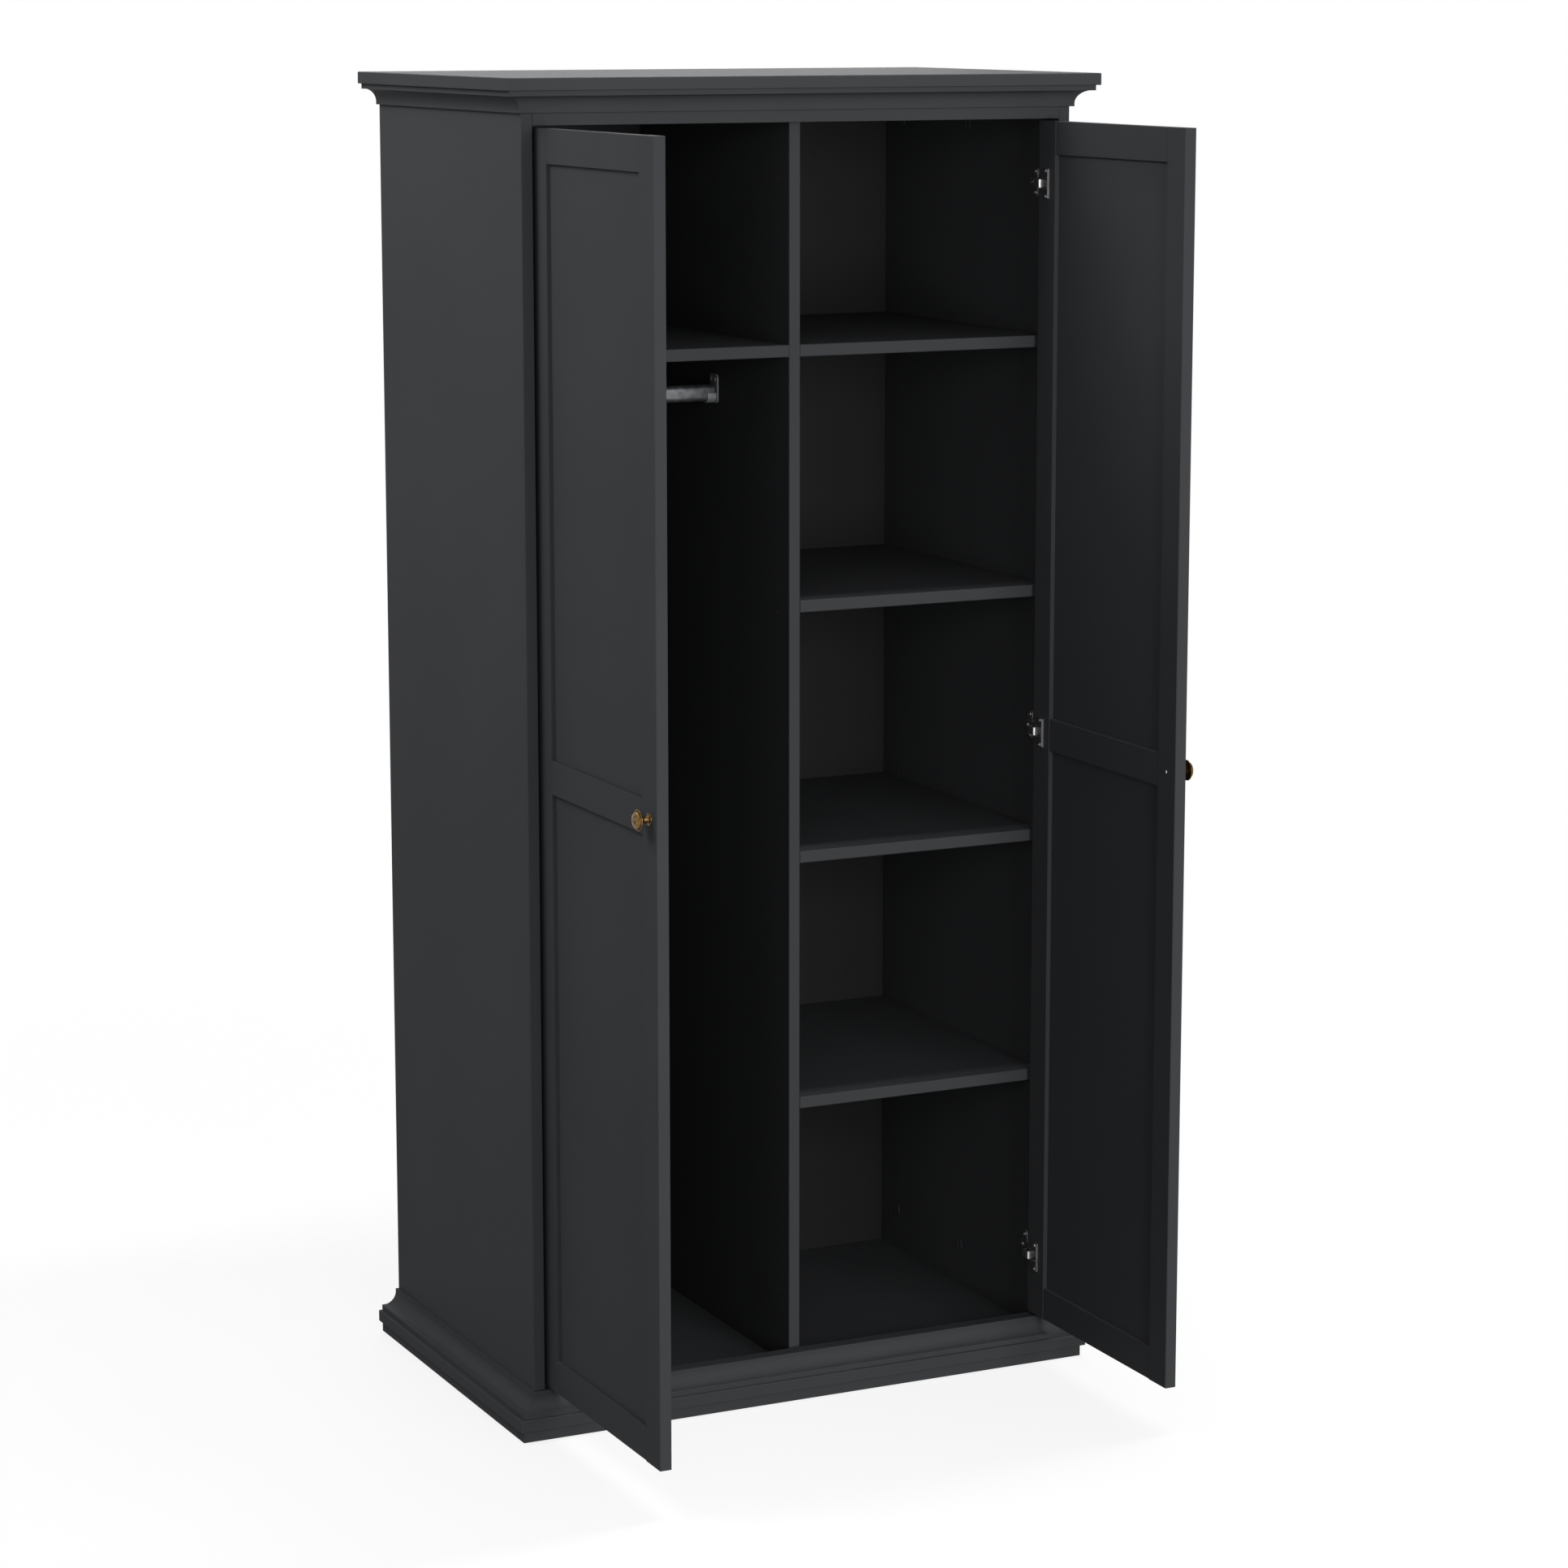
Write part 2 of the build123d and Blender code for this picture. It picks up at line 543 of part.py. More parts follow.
# Hinge cups, pins and screws
cups = []
hinge_pins = []
cup_screws = []
for z_hinge in HINGE_ZS:
    face = Plane.XZ.offset(-Y_INNER)
    rim = Pos(CUP_X, z_hinge) * Circle(FLANGE_RIM_D / 2)
    x_far = CUP_X + FLANGE_FAR
    ears = Pos(x_far - FLANGE_WIDE / 2, z_hinge) * RectangleRounded(FLANGE_WIDE, FLANGE_TALL, FLANGE_R)
    flange = extrude(face * (rim + ears), -FLANGE_T)
    lip_half = FLANGE_TALL / 2 - FLANGE_R
    flange += block(x_far - LIP_T, x_far, Y_INNER, Y_INNER + LIP_OUT, z_hinge - lip_half, z_hinge + lip_half)
    barrel = extrude(face * (Pos(CUP_X, z_hinge) * Circle(CUP_D / 2)), CUP_DEEP)
    barrel = fillet(barrel.faces().sort_by(Axis.Y)[0].edges(), CUP_ROUND)
    hollow = Pos(CUP_X, z_hinge) * (Circle(CUP_D / 2 - CUP_WALL) & Rectangle(CUP_D, CUP_SLOT))
    cup = flange + barrel
    cup -= extrude(Plane.XZ.offset(-Y_INNER - FLANGE_T) * hollow, FLANGE_T + CUP_DEEP - CUP_FLOOR_T)
    pin = rod_z(PIVOT_X, PIVOT_Y, z_hinge - HINGE_PIN_L / 2, z_hinge + HINGE_PIN_L / 2, HINGE_PIN_D)
    cup -= pin
    hinge_pins.append(pin)
    stile -= rod_y(CUP_X, Y_INNER - CUP_BORE_DEEP, Y_INNER, z_hinge, CUP_D)
    for side in (-1, 1):
        z_screw = z_hinge + side * CUP_SCREW_PITCH / 2
        x_screw = CUP_X + CUP_SCREW_OFF
        cup -= rod_y(x_screw, Y_INNER, Y_INNER + FLANGE_T, z_screw, CUP_SCREW_D)
        stile -= rod_y(x_screw, Y_INNER + FLANGE_T - CUP_SCREW_L, Y_INNER, z_screw, CUP_SCREW_D)
        cup_screws.append(pan_head_y(x_screw, Y_INNER + FLANGE_T, z_screw, CUP_SCREW_L, CUP_SCREW_D,
                                     SCREW_HEAD_D, SCREW_HEAD_T))
    cups.append(cup)
write_pair("hinge_stile", stile)
write_pair("hinge_cups", *cups)
write_pair("hinge_pins", *hinge_pins)
write_pair("cup_screws", *cup_screws)

# Knobs, each held by a screw from the inside
x_knob = DOOR_X + DOOR_W - KNOB_FROM_EDGE
meeting_stile -= rod_y(x_knob, Y_FRONT, Y_INNER, DOOR_MID, KNOB_SCREW_D + 2 * KNOB_HOLE_PLAY)
write_pair("meeting_stile", meeting_stile)

knob_side = [
    Polyline((0, 0), (KNOB_FOOT_R, 0), (KNOB_FOOT_R, KNOB_FOOT_T)),
    ThreePointArc((KNOB_FOOT_R, KNOB_FOOT_T), (KNOB_NECK_R + 2 * KNOB_BEAD, KNOB_NECK_OUT / 2),
                  (KNOB_NECK_R, KNOB_NECK_OUT)),
    Spline((KNOB_NECK_R, KNOB_NECK_OUT), (KNOB_SWELL_R, KNOB_RIM_OUT - 2 * KNOB_BEAD),
           (KNOB_HEAD_R, KNOB_RIM_OUT), tangents=((0, 1), (1, 0.2))),
    Polyline((KNOB_HEAD_R, KNOB_RIM_OUT), (KNOB_HEAD_R, KNOB_RIM_OUT + 2 * KNOB_BEAD),
             (KNOB_HEAD_R - KNOB_BEAD, KNOB_RIM_OUT + 3 * KNOB_BEAD),
             (KNOB_HEAD_R - KNOB_BEAD, KNOB_DOME_OUT)),
    TangentArc((0, KNOB_OUT), (KNOB_HEAD_R - KNOB_BEAD, KNOB_DOME_OUT), tangent=(1, 0)),
    Line((0, KNOB_OUT), (0, 0)),
]
knob = revolve(make_face(knob_side), Axis.Y)
knob = Pos(x_knob, Y_FRONT, DOOR_MID) * (Rot(180, 0, 0) * knob)
knob_hole = rod_y(x_knob, Y_FRONT - KNOB_SCREW_IN, Y_FRONT, DOOR_MID, KNOB_SCREW_D)
write_pair("knob", knob - knob_hole)
write_pair("knob_screw", pan_head_y(x_knob, Y_INNER, DOOR_MID, DOOR_T + KNOB_SCREW_IN, KNOB_SCREW_D,
                                    SCREW_HEAD_D, SCREW_HEAD_T))
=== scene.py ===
"""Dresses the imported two-door wardrobe: finishes, fixings, stage and camera."""
import json
import math

import bmesh
import bpy
from mathutils import Euler, Matrix, Vector


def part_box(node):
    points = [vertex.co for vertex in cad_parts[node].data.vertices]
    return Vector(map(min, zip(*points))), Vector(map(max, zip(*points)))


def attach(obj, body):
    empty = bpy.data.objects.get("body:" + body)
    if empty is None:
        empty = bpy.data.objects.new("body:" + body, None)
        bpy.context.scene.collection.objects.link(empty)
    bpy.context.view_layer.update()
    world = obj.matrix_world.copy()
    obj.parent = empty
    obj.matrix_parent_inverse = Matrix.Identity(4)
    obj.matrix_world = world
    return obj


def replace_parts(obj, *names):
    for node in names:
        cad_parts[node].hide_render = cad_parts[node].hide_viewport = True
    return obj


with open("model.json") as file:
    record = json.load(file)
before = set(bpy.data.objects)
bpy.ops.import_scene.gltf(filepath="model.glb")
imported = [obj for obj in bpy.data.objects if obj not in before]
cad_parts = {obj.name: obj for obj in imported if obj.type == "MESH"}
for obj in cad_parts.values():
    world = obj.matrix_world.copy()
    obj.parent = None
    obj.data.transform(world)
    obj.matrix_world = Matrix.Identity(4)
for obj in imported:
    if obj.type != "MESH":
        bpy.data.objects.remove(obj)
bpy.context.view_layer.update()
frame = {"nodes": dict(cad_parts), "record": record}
NODES = frame["nodes"]
SLOT_OF = {row["node"]: row["material_slot"] for row in frame["record"]["subparts"]}

bl_info = {
    "name": "Two-door wardrobe",
    "version": (1, 0, 0),
    "blender": (4, 5, 0),
    "location": "View3D > Sidebar > Wardrobe",
    "description": "Finishes, fixings and studio for a framed two-door wardrobe",
    "category": "Object",
}

MM = 0.001
PHOTO_PIXELS = 1932
SENSOR_MM = 36.0
# vertices of a CAD mesh that lie closer than this are one
WELD = 0.002 * MM

DOORS = ("left_door", "right_door")
PLAIN_BOARDS = (
    "top_board", "bottom_board",
    "plinth_front", "plinth_back", "plinth_left", "plinth_right", "plinth_middle",
    "fascia_rail", "cornice_rail_back",
    "adjustable_shelf_1", "adjustable_shelf_2", "adjustable_shelf_3",
)
DRILLED_BOARDS = ("left_side_panel", "right_side_panel", "divider_panel", "hat_shelf", "upper_shelf")
BACK_PANELS = ("back_panel_left", "back_panel_right")
MOULDINGS = (
    "cornice_front", "cornice_left", "cornice_right",
    "base_moulding_front", "base_moulding_left", "base_moulding_right",
)
DOOR_STILES = ("hinge_stile", "meeting_stile")
DOOR_FIELDS = ("top_rail", "middle_rail", "bottom_rail", "upper_panel", "lower_panel")

# the hinge arms' strap thickness, and the adjusting screws' distances from the arm's rear end
ARM_T = 2.2 * MM
ADJUSTERS = (12 * MM, 36 * MM)

# turned shapes as (radius, height) in diameters of the head or cap
SCREW_BODY = ((0.26, -0.55), (0.26, 0.0), (0.5, 0.0), (0.5, 0.07), (0.46, 0.15), (0.37, 0.21))
SCREW_TOP = 0.23
SCREW_PIT = 0.06
CROSS_ARM = 0.26
CROSS_HALF = 0.055
CROSS_TAPER = 0.7
CAP_BODY = (
    (0.45, -0.01), (0.5, 0.0), (0.5, 0.05), (0.48, 0.07), (0.45, 0.07), (0.43, 0.01),
    (0.39, 0.01), (0.37, 0.05), (0.2, 0.055),
)
NAIL_BODY = ((0.2, -0.8), (0.2, 0.0), (0.5, 0.0), (0.5, 0.1), (0.4, 0.18), (0.2, 0.2))

# the knobs' turned shape in millimetres, distances measured out from the door
KNOB_SIDES = 56
KNOB_ARC_STEPS = 9
KNOB_FOOT_R = 9.0
KNOB_FOOT_T = 1.6
KNOB_CONE_R = 8.2
KNOB_CONE_OUT = 2.0
KNOB_NECK_R = 4.6
KNOB_NECK_OUT = 9.7
KNOB_BACK_R = 15.0
KNOB_BACK_OUT = 16.0
KNOB_RIM_R = 15.4
KNOB_RIM_OUT = 17.8
KNOB_EASE = 0.4
KNOB_DOME_R = 13.3
KNOB_DOME_OUT = 18.3
KNOB_DOME_H = 6.2

# the floor's half width in metres, the white it shows, and how far off its shadow fades out
FLOOR_HALF = 30.0
FLOOR_WHITE = 0.9
SHADOW_FULL = 1.0
SHADOW_NONE = 3.2
# height of a direction, as a share of straight up, where the sky reaches its zenith strength
ZENITH_FROM = 0.9
# each softbox's width, depth, place and target in metres; its power is the studio property of the same name
LAMPS = {
    "front": (2.6, 2.6, (0.2, -5.8, 1.7), (0.0, 0.0, 1.1)),
    "fill": (3.0, 3.0, (-3.4, -5.2, 1.8), (0.0, 0.0, 1.0)),
    "left": (1.2, 1.2, (-2.1, 0.1, 3.1), (-0.45, 0.0, 1.6)),
    "above": (2.4, 0.4, (1.1, -0.5, 4.6), (1.1, -0.5, 0.0)),
    "back": (3.0, 3.0, (1.4, 4.8, 3.0), (0.0, 0.0, 1.1)),
}

FINISHES = {}


def linear(code):
    """Turns an sRGB hex colour into linear red, green and blue."""
    parts = [int(code[place:place + 2], 16) / 255 for place in (1, 3, 5)]
    return tuple(p / 12.92 if p <= 0.04045 else ((p + 0.055) / 1.055) ** 2.4 for p in parts)


def colour(name, words, code):
    """A colour property with an sRGB default."""
    return bpy.props.FloatVectorProperty(
        name=name, description=words, subtype="COLOR", size=3, min=0.0, max=1.0, default=linear(code))


def length(name, words, size, least=0.0):
    """A length property with its default in metres."""
    return bpy.props.FloatProperty(name=name, description=words, unit="LENGTH", default=size, min=least)


def power(name, words, watts):
    """A lamp's power."""
    return bpy.props.FloatProperty(name=name, description=words, unit="POWER", default=watts, min=0.0)


class WardrobeFinish(bpy.types.PropertyGroup):
    """Colours of the boards and metals."""

    foil: colour("Foil", "Matt foil on the boards, middle tone", "#3f4042")
    foil_low: colour("Foil shade", "Darker clouding in the foil", "#3a3b3d")
    back: colour("Back board", "Lacquered hardboard back", "#29292a")
    back_low: colour("Back board shade", "Darker clouding in the lacquer", "#252526")
    nickel: colour("Nickel", "Plating on the cup hinges", "#b8b8b8")
    zinc: colour("Zinc", "Plating on screws and pins", "#a2a3a5")
    cam: colour("Cam zinc", "Dull die-cast cam locks", "#4a4b4d")
    rail: colour("Rail steel", "Galvanised hanging rail", "#68696b")
    rail_dark: colour("Rail spangle", "Darker spangles of the rail", "#4d4e51")
    bracket: colour("Rail cradle", "Moulded rail cradles", "#747577")
    brass: colour("Brass", "Rubbed high spots of the knobs", "#9b7c4d")
    patina: colour("Patina", "Brown patina in the knobs' hollows", "#3d2d1b")
    beech: colour("Beech", "Hidden dowels", "#b78d5e")


class WardrobeDetail(bpy.types.PropertyGroup):
    """Sizes of the small work."""

    arris: length("Arris", "Eased width along the boards' edges", 0.9 * MM)
    moulding_arris: length("Moulding arris", "Eased width along the mouldings' edges", 0.54 * MM)
    hinge_arris: length("Hinge arris", "Eased width along the pressed hinge parts", 0.27 * MM)
    rail_arris: length("Rail arris", "Eased width on the rail and its cradles", 0.36 * MM)
    nail_step: length("Nail spacing", "Distance between the back panels' nails", 120 * MM, least=20 * MM)
    nail_inset: length("Nail inset", "Nails' distance from the panel's edge", 5 * MM)
    nail_head: length("Nail head", "Diameter of a nail's head", 3.2 * MM)
    screw_head: length("Screw head", "Diameter of the pan heads", 5.8 * MM)
    cam_cap: length("Cam cap", "Diameter of the caps over the cam locks", 16.5 * MM)
    seed: bpy.props.IntProperty(
        name="Seed", description="Seed for the screws' random turn", subtype="UNSIGNED", default=7, min=0)


class WardrobeStudio(bpy.types.PropertyGroup):
    """Light and camera."""

    horizon: bpy.props.FloatProperty(
        name="Horizon", description="Strength of the even light from all round", subtype="UNSIGNED",
        default=0.45, min=0.0)
    zenith: bpy.props.FloatProperty(
        name="Zenith", description="Strength of the even light from above", subtype="UNSIGNED",
        default=0.35, min=0.0)
    front: power("Front", "Power of the large lamp at the front", 244.0)
    fill: power("Fill", "Power of the lamp between front and left", 52.0)
    left: power("Left", "Power of the lamp high on the left", 38.0)
    above: power("Above", "Power of the lamp overhead", 120.0)
    back: power("Back", "Power of the lamp behind", 80.0)
    bounce: colour("Floor bounce", "Grey the floor shows to the light it throws back", "#484848")
    backdrop: bpy.props.FloatProperty(
        name="Backdrop", description="Share of plain white in the floor as seen", subtype="FACTOR",
        default=0.82, min=0.0, max=1.0)
    focal: bpy.props.FloatProperty(
        name="Focal length", description="Lens fitted to the photograph", subtype="PIXEL",
        default=5183.9, min=1.0)
    camera_at: bpy.props.FloatVectorProperty(
        name="Camera", description="Where the photograph was taken from", subtype="XYZ", unit="LENGTH",
        default=(-2.7362, -5.8581, 2.1197))
    yaw: bpy.props.FloatProperty(
        name="Yaw", description="Turn to the right", subtype="ANGLE", default=math.radians(25.817))
    pitch: bpy.props.FloatProperty(
        name="Pitch", description="Tilt upwards", subtype="ANGLE", default=math.radians(-9.951))
    shift: bpy.props.FloatProperty(
        name="Shift", description="Lens shift, in frame widths", subtype="FACTOR",
        default=-0.03, min=-1.0, max=1.0)


def add(tree, kind, links=None, **settings):
    """Adds a node, sets its properties and input values, and links its inputs."""
    node = tree.nodes.new(kind)
    for name, value in settings.items():
        if hasattr(node, name):
            setattr(node, name, value)
        else:
            node.inputs[name.replace("_", " ")].default_value = value
    for name, source in (links or {}).items():
        tree.links.new(source, node.inputs[name])
    return node


def combined(tree, operation, first, second):
    """The sum, product or the like of two values."""
    node = add(tree, "ShaderNodeMath", {0: first, 1: second}, operation=operation)
    return node.outputs["Value"]


def blended(tree, share, low, high):
    """A colour between two tones, by a share from nothing to one."""
    node = add(tree, "ShaderNodeMix", {"Factor": share}, data_type="RGBA")
    node.inputs["A"].default_value = (*low, 1)
    node.inputs["B"].default_value = (*high, 1)
    return node.outputs["Result"]


def ranged(tree, value, **limits):
    """A value carried from one range to another."""
    return add(tree, "ShaderNodeMapRange", {"Value": value}, **limits).outputs["Result"]


def surface(name):
    """A new material with a bare shader, ready for its nodes."""
    material = bpy.data.materials.new(name)
    material.use_nodes = True
    tree = material.node_tree
    tree.nodes.clear()
    shader = add(tree, "ShaderNodeBsdfPrincipled")
    add(tree, "ShaderNodeOutputMaterial", {"Surface": shader.outputs["BSDF"]})
    place = add(tree, "ShaderNodeTexCoord").outputs["Object"]
    return material, tree, shader, place


def foil_board(name, light, dark):
    """Matt foil pressed on board: faint clouding, a fine pressed tooth and a soft, broad sheen."""
    material, tree, shader, place = surface(name)
    # clouding about 220 mm across, the tooth drawn at 3 mm because the real 0.4 mm is too fine to show
    cloud = add(tree, "ShaderNodeTexNoise", {"Vector": place}, Scale=1 / (220 * MM), Detail=3.0)
    tooth = add(tree, "ShaderNodeTexNoise", {"Vector": place}, Scale=1 / (3 * MM), Detail=4.0, Roughness=0.6)
    tree.links.new(blended(tree, cloud.outputs["Fac"], dark, light), shader.inputs["Base Color"])
    rough = ranged(tree, tooth.outputs["Fac"], To_Min=0.5, To_Max=0.6)
    tree.links.new(rough, shader.inputs["Roughness"])
    bump = add(tree, "ShaderNodeBump", {"Height": tooth.outputs["Fac"]}, Strength=0.12, Distance=0.12 * MM)
    tree.links.new(bump.outputs["Normal"], shader.inputs["Normal"])
    # a low gloss level keeps the white studio out of the matt foil
    shader.inputs["Specular IOR Level"].default_value = 0.012
    return material


def plated_metal(name, tone, roughness, grit_mm):
    """Plated steel: bright, with a slightly uneven polish at the grit's size."""
    material, tree, shader, place = surface(name)
    polish = add(tree, "ShaderNodeTexNoise", {"Vector": place}, Scale=1 / (grit_mm * MM), Detail=3.0)
    rough = ranged(tree, polish.outputs["Fac"], To_Min=roughness - 0.06, To_Max=roughness + 0.08)
    tree.links.new(rough, shader.inputs["Roughness"])
    shader.inputs["Base Color"].default_value = (*tone, 1)
    shader.inputs["Metallic"].default_value = 1.0
    return material


def galvanised_tube(name, light, dark):
    """Galvanised steel tube: mottled zinc spangles, dull and grey."""
    material, tree, shader, place = surface(name)
    # spangles about 9 mm across, smeared over about 14 mm
    spangle = add(tree, "ShaderNodeTexVoronoi", {"Vector": place}, Scale=1 / (9 * MM))
    smear = add(tree, "ShaderNodeTexNoise", {"Vector": place}, Scale=1 / (14 * MM), Detail=5.0)
    mixed = combined(tree, "MULTIPLY", spangle.outputs["Distance"], smear.outputs["Fac"])
    spread = ranged(tree, mixed, From_Min=0.05, From_Max=0.45)
    tree.links.new(blended(tree, spread, dark, light), shader.inputs["Base Color"])
    rough = ranged(tree, smear.outputs["Fac"], To_Min=0.36, To_Max=0.58)
    tree.links.new(rough, shader.inputs["Roughness"])
    shader.inputs["Metallic"].default_value = 0.85
    return material


def moulded_grey(name, tone):
    """Injection-moulded cradle: fine spark-eroded grain, half matt."""
    material, tree, shader, place = surface(name)
    # grain drawn at 1.2 mm, coarser than the real 0.2 mm, so that it shows
    grain = add(tree, "ShaderNodeTexNoise", {"Vector": place}, Scale=1 / (1.2 * MM), Detail=2.0)
    bump = add(tree, "ShaderNodeBump", {"Height": grain.outputs["Fac"]}, Strength=0.2, Distance=0.1 * MM)
    tree.links.new(bump.outputs["Normal"], shader.inputs["Normal"])
    rough = ranged(tree, grain.outputs["Fac"], To_Min=0.38, To_Max=0.5)
    tree.links.new(rough, shader.inputs["Roughness"])
    shader.inputs["Base Color"].default_value = (*tone, 1)
    return material


def aged_brass(name, rubbed, patina):
    """Antique brass: brown patina left in the turned grooves, warm metal rubbed clear on the high spots."""
    material, tree, shader, place = surface(name)
    # patches about 7 mm across, held back where the piece's own wear is low
    patch = add(tree, "ShaderNodeTexNoise", {"Vector": place}, Scale=1 / (7 * MM), Detail=5.0, Roughness=0.65)
    spread = ranged(tree, patch.outputs["Fac"], From_Min=0.4, From_Max=0.68)
    handled = add(tree, "ShaderNodeAttribute", attribute_name="wear")
    worn = combined(tree, "MULTIPLY", spread, handled.outputs["Fac"])
    tree.links.new(blended(tree, worn, patina, rubbed), shader.inputs["Base Color"])
    rough = ranged(tree, worn, To_Min=0.45, To_Max=0.26)
    tree.links.new(rough, shader.inputs["Roughness"])
    shader.inputs["Metallic"].default_value = 1.0
    return material


def beech_dowel(name, tone):
    """Turned beech: straight flecked grain along the dowel."""
    material, tree, shader, place = surface(name)
    # grain lines about 5 mm apart
    grain = add(tree, "ShaderNodeTexWave", {"Vector": place}, bands_direction="Y",
                Scale=1 / (5 * MM), Distortion=2.0)
    dark = [part * 0.7 for part in tone]
    tree.links.new(blended(tree, grain.outputs["Fac"], tone, dark), shader.inputs["Base Color"])
    shader.inputs["Roughness"].default_value = 0.6
    return material


def seen_ray(tree):
    """One for rays that reach the camera directly, by a reflection or through glass, else nothing."""
    ray = add(tree, "ShaderNodeLightPath").outputs
    direct = combined(tree, "MAXIMUM", ray["Is Camera Ray"], ray["Is Glossy Ray"])
    return combined(tree, "MAXIMUM", direct, ray["Is Transmission Ray"])


def pale_floor(name, bounce, share):
    """Seamless studio floor: near white, with the soft shadow near the object, and plain white far off."""
    material, tree, shader, place = surface(name)
    seen = seen_ray(tree)
    tree.links.new(blended(tree, seen, bounce, [FLOOR_WHITE] * 3), shader.inputs["Base Color"])
    shader.inputs["Roughness"].default_value = 0.9
    shader.inputs["Specular IOR Level"].default_value = 0.0
    away = add(tree, "ShaderNodeVectorMath", {"Vector": place}, operation="LENGTH")
    fade = ranged(tree, away.outputs["Value"], From_Min=SHADOW_FULL, From_Max=SHADOW_NONE,
                  To_Min=share, To_Max=1.0)
    white = add(tree, "ShaderNodeEmission", Color=(1, 1, 1, 1), Strength=1.0)
    mix = add(tree, "ShaderNodeMixShader", {
        "Fac": combined(tree, "MULTIPLY", seen, fade),
        1: shader.outputs["BSDF"], 2: white.outputs["Emission"]})
    output = next(node for node in tree.nodes if node.bl_idname == "ShaderNodeOutputMaterial")
    tree.links.new(mix.outputs["Shader"], output.inputs["Surface"])
    return material


def finish_for(node):
    """The material made for a node's slot in the record."""
    return FINISHES[SLOT_OF[node]]


def body_of(node):
    """The body that a node rides on, by its name."""
    return next((door for door in DOORS if node.startswith(door)), "carcass")


def link(name, mesh, body):
    """Adds a finished mesh to the scene on its body."""
    piece = bpy.data.objects.new(name, mesh)
    bpy.context.scene.collection.objects.link(piece)
    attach(piece, body)
    return piece


def baked(maker):
    """The plain mesh that an object's modifiers make; the object goes."""
    mesh = bpy.data.meshes.new_from_object(maker.evaluated_get(bpy.context.evaluated_depsgraph_get()))
    if not mesh.polygons:
        raise RuntimeError("Nothing was made by " + maker.name)
    maker.modifiers.clear()
    bpy.data.objects.remove(maker)
    return mesh


def welded(node):
    """A node's mesh with its loose triangles joined."""
    form = bmesh.new()
    form.from_mesh(NODES[node].data)
    bmesh.ops.remove_doubles(form, verts=form.verts, dist=WELD)
    return form


def softened(node, width):
    """A copy of a node with its sharp edges eased, standing for the node."""
    form = welded(node)
    bmesh.ops.dissolve_limit(form, angle_limit=math.radians(0.5), verts=form.verts, edges=form.edges)
    mesh = bpy.data.meshes.new(node + "_eased")
    form.to_mesh(mesh)
    form.free()
    maker = bpy.data.objects.new("eased_maker", mesh)
    bpy.context.scene.collection.objects.link(maker)
    ease = maker.modifiers.new("Arris", "BEVEL")
    ease.width = width
    ease.segments = 2
    ease.limit_method = "ANGLE"
    # the CAD's own 45 degree chamfers stay as they are
    ease.angle_limit = math.radians(50)
    ease.use_clamp_overlap = True
    done = baked(maker)
    done.materials.clear()
    done.materials.append(finish_for(node))
    done.shade_smooth()
    done.set_sharp_from_angle(angle=math.radians(21))
    piece = link(node + "_eased", done, body_of(node))
    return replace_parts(piece, node)


def coat(node):
    """Gives a CAD node its finish."""
    mesh = NODES[node].data
    mesh.materials.clear()
    mesh.materials.append(finish_for(node))


def islands(node):
    """Low and high corners of each separate solid of a node."""
    form = welded(node)
    seen = set()
    boxes = []
    for start in form.verts:
        if start in seen:
            continue
        group = [start]
        seen.add(start)
        for vert in group:
            for edge in vert.link_edges:
                other = edge.other_vert(vert)
                if other not in seen:
                    seen.add(other)
                    group.append(other)
        low = Vector([min(vert.co[axis] for vert in group) for axis in range(3)])
        high = Vector([max(vert.co[axis] for vert in group) for axis in range(3)])
        boxes.append((low, high))
    form.free()
    return boxes


def inward(low, high, middle=0.0):
    """The way along X from a box towards the middle: one, or minus one from its right."""
    return 1 if low.x + high.x < 2 * middle else -1


def face_x(low, high, way):
    """Where a box ends along X in the given way."""
    return high.x if way > 0 else low.x


def seat_x(x, y, z, way):
    """A fixing's seat that looks along X in the given way: its place and its outward direction."""
    return Vector((x, y, z)), Vector((way, 0, 0))


def turned(form, profile, sides):
    """Turns a (radius, height) profile round Z and closes its start; a point on the axis is one vertex."""
    turns = [2 * math.pi * step / sides for step in range(sides)]
    rings = []
    for radius, height in profile:
        spokes = turns if radius > WELD else turns[:1]
        rings.append([form.verts.new((radius * math.cos(turn), radius * math.sin(turn), height))
                      for turn in spokes])
    for lower, upper in zip(rings, rings[1:]):
        for step in range(sides):
            after = (step + 1) % sides
            closing = [upper[after], upper[step]] if len(upper) > 1 else upper
            form.faces.new([lower[step], lower[after]] + closing)
    form.faces.new(list(reversed(rings[0])))
    return rings


def turned_pattern(name, profile, sides):
    """A small turned piece of unit diameter along +Z, with a flat top."""
    form = bmesh.new()
    form.faces.new(turned(form, profile, sides)[-1])
    mesh = bpy.data.meshes.new(name)
    form.to_mesh(mesh)
    form.free()
    return bpy.data.objects.new(name, mesh)


